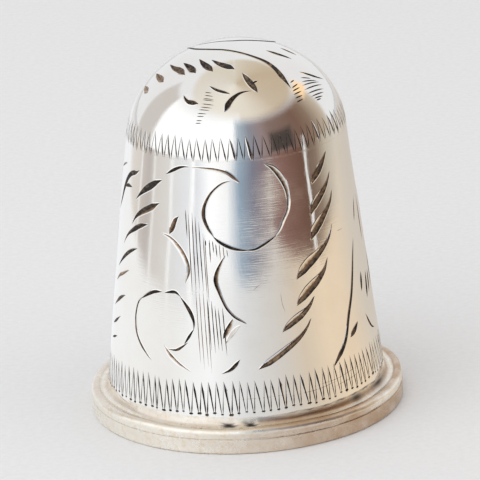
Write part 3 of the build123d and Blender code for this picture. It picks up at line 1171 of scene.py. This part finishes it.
def rim_silver(name):
    """Satin silver, brown with tarnish in the cove and coppery towards the right, which on the
    bead's flank is a painted reflection of the dark warm room there.

    The moulding, the base ring and the solder fillet above the cove have it.
    """
    material, nodes, shader, place = new_material(name)
    parts = nodes.new("ShaderNodeSeparateXYZ")
    nodes.link(place, parts.inputs[0])
    cloud = nodes.spread(nodes.noise(place, 1.4, 5.0, 0.6), 0.3, 0.7, 0.5, 1.0)
    mottle = nodes.spread(nodes.noise(place, 0.8, 5.0, 0.65), 0.35, 0.75)
    specks = nodes.spread(nodes.noise(place, 0.3, 4.0, 0.7), 0.5, 0.68, 0.0, 0.7)
    x, z = parts.outputs["X"], parts.outputs["Z"]
    below_crest = nodes.spread(z, 1.15 * MM, 1.3 * MM, 1.0, 0.0)
    in_cove = nodes.spread(z, 1.34 * MM, 1.46 * MM)
    in_cove = nodes.math("MULTIPLY", in_cove, nodes.spread(z, 1.6 * MM, 1.8 * MM, 1, 0.2))
    # Browner towards the right on the lower rim and the cove; on the bead's flank this brown is a
    # painted reflection of the dark warm room on that side.
    to_right = nodes.spread(x, -4.0 * MM, 5.0 * MM)
    cove = nodes.math("MULTIPLY", in_cove, nodes.spread(to_right, 0.2, 0.9, 0.35, 1.0))
    strip = nodes.math("MULTIPLY", below_crest, to_right)
    # Painted highlight: the bead's far right end is kept out of that brown, bright where it is
    # strongly lit.
    on_bead = nodes.spread(z, 0.88 * MM, 0.98 * MM)
    far_right = nodes.spread(x, 6.0 * MM, 8.0 * MM)
    lit_right_end = nodes.math("MULTIPLY", on_bead, far_right)
    strip = nodes.math("MULTIPLY", strip, nodes.math("SUBTRACT", 1.0, lit_right_end))
    tarnish_and_reflection = nodes.math("MULTIPLY", nodes.math("MAXIMUM", cove, strip), cloud)
    silver = nodes.mix(mottle, (0.97, 0.945, 0.885), (0.92, 0.86, 0.76))
    silver = nodes.mix(specks, silver, (0.86, 0.72, 0.54))
    metal = nodes.mix(tarnish_and_reflection, silver, (0.50, 0.33, 0.20))
    grime = oxide_and_shade_on_mesh(nodes)
    colour = nodes.mix(grime, metal, BLACK_OXIDE_AND_SHADE)
    metallic = nodes.spread(grime, 0.0, 1.0, 1.0, 0.1)
    satin = nodes.spread(mottle, 0.0, 1.0, 0.24, 0.4)
    rough = nodes.math("MAXIMUM", satin, nodes.math("MULTIPLY", grime, 0.7))
    round_about = nodes.noise(nodes.stretched(place, (0.1, 0.1, 1)), 0.08, 3.0)
    hammered = nodes.bump(nodes.noise(place, 0.7, 3.0), 0.02)
    normal = nodes.bump(round_about, 0.004, hammered)
    join(nodes, shader, Base_Color=colour, Metallic=metallic, Roughness=rough, Normal=normal)
    return material


def joint_solder():
    """Solder: greyer and duller than the sheet, with darker grains."""
    material, nodes, shader, place = new_material("joint_solder")
    grains = nodes.spread(nodes.noise(place, 0.15, 4.0, 0.6), 0.35, 0.8)
    metal = nodes.mix(grains, (0.84, 0.79, 0.71), (0.50, 0.41, 0.31))
    shader.inputs["Metallic"].default_value = 0.95
    join(nodes, shader, Base_Color=nodes.mix(oxide_and_shade_on_mesh(nodes), metal, BLACK_OXIDE_AND_SHADE),
         Roughness=nodes.spread(grains, 0, 1, 0.35, 0.55), Normal=nodes.bump(grains, 0.006))
    return material


def sheet_joint_solder():
    """Solder between sheets: filed flush, engraved over and nearly the silver's colour."""
    material, nodes, shader, place = new_material("flush_solder")
    cut = oxide_and_shade_on_mesh(nodes)
    grains = nodes.spread(nodes.noise(place, 0.25, 4.0, 0.6), 0.35, 0.7)
    solder = nodes.mix(grains, (0.925, 0.905, 0.87), (0.87, 0.84, 0.79))
    oxide = nodes.spread(cut, 0.2, 0.8)
    join(nodes, shader, Base_Color=nodes.mix(oxide, solder, BLACK_OXIDE_AND_SHADE),
         Metallic=nodes.spread(oxide, 0.0, 1.0, 1.0, 0.1),
         Roughness=nodes.spread(grains, 0, 1, 0.11, 0.18), Normal=nodes.bump(grains, 0.001))
    return material


# ---- stage ----------------------------------------------------------------------------------
def towards(azimuth, elevation, distance):
    """A place seen from the thimble: azimuth in degrees to the right of the front."""
    a, e = radians(azimuth), radians(elevation)
    return Vector((sin(a) * cos(e), -cos(a) * cos(e), sin(e))) * distance


def stage_mesh(name, vertices, faces):
    thing = linked_mesh(name, [tuple(v) for v in vertices], faces)
    return thing


def glow_material(name):
    """Light of the mesh's own colours, see-through where the mesh says so."""
    material = bpy.data.materials.new(name)
    material.use_nodes = True
    nodes = Nodes(material.node_tree)
    material.node_tree.nodes.clear()
    glow, clear = nodes.new("ShaderNodeEmission"), nodes.new("ShaderNodeBsdfTransparent")
    colour = nodes.new("ShaderNodeAttribute", attribute_name="glow").outputs["Color"]
    cover = nodes.new("ShaderNodeAttribute", attribute_name="cover").outputs["Fac"]
    nodes.link(colour, glow.inputs["Color"])
    nodes.show_mix(cover, clear, glow, "ShaderNodeOutputMaterial")
    return material


def studio_card(name, place, stops, near, far, soft):
    """A card in the metal's surroundings, seen only in reflections.

    It reaches round the thimble through the stops, each (azimuth, colour), and from near to
    far in the other direction, where place(azimuth, t) puts t = 0 to 1. Its colours blend
    from stop to stop, and its edges fade over soft = (round, near edge, far edge).
    """
    angles, colours = zip(*stops)
    azimuths = np.arange(angles[0], angles[-1] + 0.1, 1.0)
    rows = np.linspace(0, 1, 25)
    vertices, glow, cover = [], [], []
    for azimuth in azimuths:
        colour = [np.interp(azimuth, angles, [c[i] for c in colours]) for i in range(3)]
        ends = min(azimuth - angles[0], angles[-1] - azimuth) / max(soft[0], 0.01)
        for t in rows:
            edge = min((t + 0.001) / max(soft[1], 0.01), (1.001 - t) / max(soft[2], 0.01), ends)
            vertices.append(place(azimuth, near + (far - near) * t))
            glow.extend((*colour, 1.0))
            cover.append(float(smooth_step(edge)))
    count = len(rows)
    faces = [
        (i * count + j, (i + 1) * count + j, (i + 1) * count + j + 1, i * count + j + 1)
        for i in range(len(azimuths) - 1)
        for j in range(count - 1)
    ]
    card = stage_mesh(name, vertices, faces)
    card.data.attributes.new("glow", "FLOAT_COLOR", "POINT").data.foreach_set("color", glow)
    card.data.attributes.new("cover", "FLOAT", "POINT").data.foreach_set("value", cover)
    card.data.materials.append(glow_material(name))
    card.visible_camera = False
    card.visible_diffuse = False
    card.visible_shadow = False
    card.visible_transmission = False


def upright_card(name, stops, low, high, soft=(4, 0.1, 0.1), distance=0.28):
    """A card that stands round the thimble, between two elevations in degrees."""
    studio_card(name, lambda a, e: towards(a, e, distance), stops, low, high, soft)


def ceiling_card(name, stops):
    """A card overhead that comes lower in front of the thimble than behind it."""

    def place(azimuth, t):
        low = 49 - 9 * cos(radians(azimuth - 40))
        return towards(azimuth, low * (1 - t) + 90 * t, 0.32)

    studio_card(name, place, stops, 0, 1, (0.01, 0.15, 0.01))


def paper_edge(azimuth):
    """Distance in metres to the edge of the pale paper that the thimble stands on."""
    x, y = sin(radians(azimuth)), -cos(radians(azimuth))
    across = 0.060 / x if x > 0 else 0.052 / max(-x, 1e-6)
    along = 0.105 / -y if y < 0 else 0.12 / max(y, 1e-6)
    return min(across, along)


def table_card(name, stops, near, far, soft, height):
    """A card lying just over the floor. near and far give distances for an azimuth."""

    def place(azimuth, t):
        spot = towards(azimuth, 0, near(azimuth) * (1 - t) + far(azimuth) * t)
        spot.z = height * MM
        return spot

    studio_card(name, place, stops, 0, 1, soft)


def floor():
    size = 4.0
    corners = [(-size, -size, 0), (size, -size, 0), (size, size, 0), (-size, size, 0)]
    thing = stage_mesh("floor", corners, [(0, 1, 2, 3)])
    material, nodes, shader, place = new_material("pale_floor")
    grain = nodes.spread(nodes.noise(place, 0.35, 2.0, 0.6), 0.3, 0.7)
    paper = nodes.mix(grain, (0.805, 0.80, 0.795), (0.84, 0.84, 0.84))
    join(nodes, shader, Base_Color=paper)
    shader.inputs["Roughness"].default_value = 0.7
    shader.inputs["Specular IOR Level"].default_value = 0.2
    thing.data.materials.append(material)


def soft_lamp(name, azimuth, elevation, distance, size, power, colour):
    lamp = bpy.data.lights.new(name, "AREA")
    lamp.shape = "DISK"
    lamp.size = size
    lamp.energy = power
    lamp.color = colour
    thing = bpy.data.objects.new(name, lamp)
    thing.location = towards(azimuth, elevation, distance)
    aim = Vector((0, 0, 0.01)) - thing.location
    thing.rotation_euler = aim.to_track_quat("-Z", "Y").to_euler()
    thing.visible_glossy = False
    bpy.context.scene.collection.objects.link(thing)


def studio_world():
    """Even white surroundings: bright where they are seen, lower where they only light."""
    world = bpy.data.worlds.new("studio")
    world.use_nodes = True
    bpy.context.scene.world = world
    nodes = Nodes(world.node_tree)
    world.node_tree.nodes.clear()
    path = nodes.new("ShaderNodeLightPath")
    seen = nodes.math("MAXIMUM", path.outputs["Is Camera Ray"], path.outputs["Is Glossy Ray"])
    seen = nodes.math("MAXIMUM", seen, path.outputs["Is Transmission Ray"])
    shown, fill = nodes.new("ShaderNodeBackground"), nodes.new("ShaderNodeBackground")
    shown.inputs["Color"].default_value = (0.85, 0.86, 0.88, 1)
    fill.inputs["Color"].default_value = (0.68, 0.685, 0.70, 1)
    nodes.show_mix(seen, fill, shown, "ShaderNodeOutputWorld")


WINDOW = (1.12, 1.14, 1.16)
DOORWAY = (0.075, 0.06, 0.055)
LAMP = (1.15, 0.82, 0.48)
GAP = (0.85, 0.85, 0.84)


def studio():
    """Floor, lamps and the cards whose reflections model the metal."""
    floor()
    studio_world()
    soft_lamp("key", -45, 55, 0.6, 0.7, 1.35, (1.0, 1.0, 1.0))
    soft_lamp("fill", 65, 40, 0.7, 0.7, 0.6, (1.0, 0.90, 0.80))
    upright_card("window", [(-104, WINDOW), (6, WINDOW)], -1, 60, (7, 0.05, 0.38))
    upright_card("window_side", [(-130, (0.64, 0.61, 0.58)), (-98, (0.64, 0.61, 0.58))], 0, 50)
    upright_card(
        "room",
        [(-7, (0.52, 0.60, 0.68)), (2, (0.38, 0.46, 0.54)), (12, (0.27, 0.28, 0.33)),
         (26, (0.31, 0.24, 0.24)), (36, (0.24, 0.17, 0.15)), (70, (0.20, 0.12, 0.09)),
         (86, (0.26, 0.18, 0.13)), (104, (0.50, 0.42, 0.33)), (116, (0.68, 0.62, 0.54))],
        -2, 52, (6, 0.04, 0.27), 0.27,
    )
    upright_card("doorway", [(31, DOORWAY), (64, DOORWAY)], 2, 30, (7, 0.15, 0.35), 0.26)
    upright_card("window_gap", [(69, GAP), (73, GAP)], -2, 12, (1.5, 0.05, 0.3), 0.255)
    upright_card("lamp", [(98, LAMP), (126, LAMP)], 33, 49, (9, 0.35, 0.35), 0.25)
    ceiling_card(
        "ceiling",
        [(-180, (0.71, 0.65, 0.54)), (-100, (0.78, 0.74, 0.67)), (-30, (0.88, 0.84, 0.76)),
         (20, (0.80, 0.74, 0.64)), (60, (0.63, 0.53, 0.41)), (130, (0.57, 0.46, 0.33)),
         (180, (0.71, 0.65, 0.54))],
    )
    table_card(
        "far_table",
        [(-180, (0.78, 0.78, 0.79)), (-140, (0.80, 0.79, 0.79)), (-124, (0.75, 0.71, 0.67)),
         (-112, (0.72, 0.68, 0.64)), (-110, (0.95, 0.95, 0.95)), (-108, (0.62, 0.57, 0.54)),
         (-98, (0.54, 0.50, 0.48)), (-93, (0.60, 0.56, 0.54)), (-91, (0.90, 0.90, 0.90)),
         (-88, (0.70, 0.67, 0.64)), (-72, (0.74, 0.72, 0.70)), (-69, (0.98, 0.99, 1.0)),
         (-66, (0.76, 0.77, 0.78)), (-50, (0.82, 0.84, 0.88)), (-46, WINDOW),
         (-43, (0.78, 0.80, 0.85)), (-36, (0.92, 0.95, 1.0)), (-28, WINDOW),
         (-12, (1.0, 1.02, 1.05)),
         (0, (0.32, 0.42, 0.53)), (13, (0.21, 0.22, 0.28)), (28, (0.26, 0.18, 0.18)),
         (42, (0.24, 0.13, 0.11)), (69, (0.15, 0.08, 0.055)), (70, GAP), (72, GAP),
         (73, (0.18, 0.12, 0.09)), (84, (0.26, 0.19, 0.14)), (98, (0.54, 0.48, 0.39)),
         (120, (0.70, 0.66, 0.60)), (140, (0.66, 0.61, 0.56)), (180, (0.78, 0.78, 0.79))],
        paper_edge, lambda azimuth: 0.30, (0.01, 0.05, 0.01), 0.3,
    )
    table_card(
        "paper",
        [(-180, (0.78, 0.76, 0.74)), (-152, (0.94, 0.96, 1.0)), (-124, (0.94, 0.95, 0.96)),
         (-60, (0.91, 0.92, 0.92)), (-28, (0.99, 1.01, 1.03)), (0, (0.76, 0.77, 0.78)),
         (28, (0.68, 0.65, 0.61)), (46, (0.70, 0.60, 0.48)), (70, (0.85, 0.70, 0.52)),
         (92, (0.83, 0.68, 0.51)),
         (120, (0.67, 0.61, 0.53)), (155, (0.62, 0.57, 0.52)), (180, (0.78, 0.76, 0.74))],
        lambda azimuth: 0.0105, lambda azimuth: paper_edge(azimuth) + 0.012,
        (0.01, 0.01, 0.01), 0.2,
    )


# ---- camera ---------------------------------------------------------------------------------
def camera():
    """Long lens, a little above the thimble, turned slightly about its own axis."""
    distance, elevation, roll, lens = 300 * MM, radians(18.87), radians(-3.41), 391.9
    target = Vector((0.094, 0, 9.707)) * MM
    ahead = Vector((0, cos(elevation), -sin(elevation)))
    level = Vector((1, 0, 0))
    up = level.cross(ahead)
    right = level * cos(roll) + up * sin(roll)
    top = up * cos(roll) - level * sin(roll)
    data = bpy.data.cameras.new("camera")
    data.lens, data.sensor_width = lens, 36
    data.clip_start, data.clip_end = 0.01, 20
    thing = bpy.data.objects.new("camera", data)
    place = Matrix.Translation(target - ahead * distance)
    thing.matrix_world = place @ Matrix((right, top, -ahead)).transposed().to_4x4()
    bpy.context.scene.collection.objects.link(thing)
    bpy.context.scene.camera = thing


# ---- assembly -------------------------------------------------------------------------------
def build():
    sheet, flush = engraved_silver(), sheet_joint_solder()
    rim, fillet = rim_silver("rim_satin_silver"), rim_silver("fillet_solder")
    solder = joint_solder()
    pieces = build_sheet_pieces()
    for node, piece, material, slot in (
        ("crown", pieces["crown"], sheet, "polished_silver"),
        ("side_wall", pieces["side_wall"], sheet, "polished_silver"),
        ("crown_solder_joint", pieces["crown_solder_joint"], flush, "silver_solder"),
        ("wall_seam_solder", pieces["wall_seam_solder"], flush, "silver_solder"),
        ("base_ring", base_ring(), rim, "rim_silver"),
        ("foot_moulding", foot_moulding(), rim, "rim_silver"),
        ("ring_solder_joint", ring_solder(), solder, "silver_solder"),
        ("foot_solder_joint", wall_fillet(), fillet, "silver_solder"),
    ):
        piece.data.materials.append(material)
        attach(piece, "root")
        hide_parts(node)


build()
studio()
camera()
bpy.context.scene.view_settings.view_transform = "Standard"
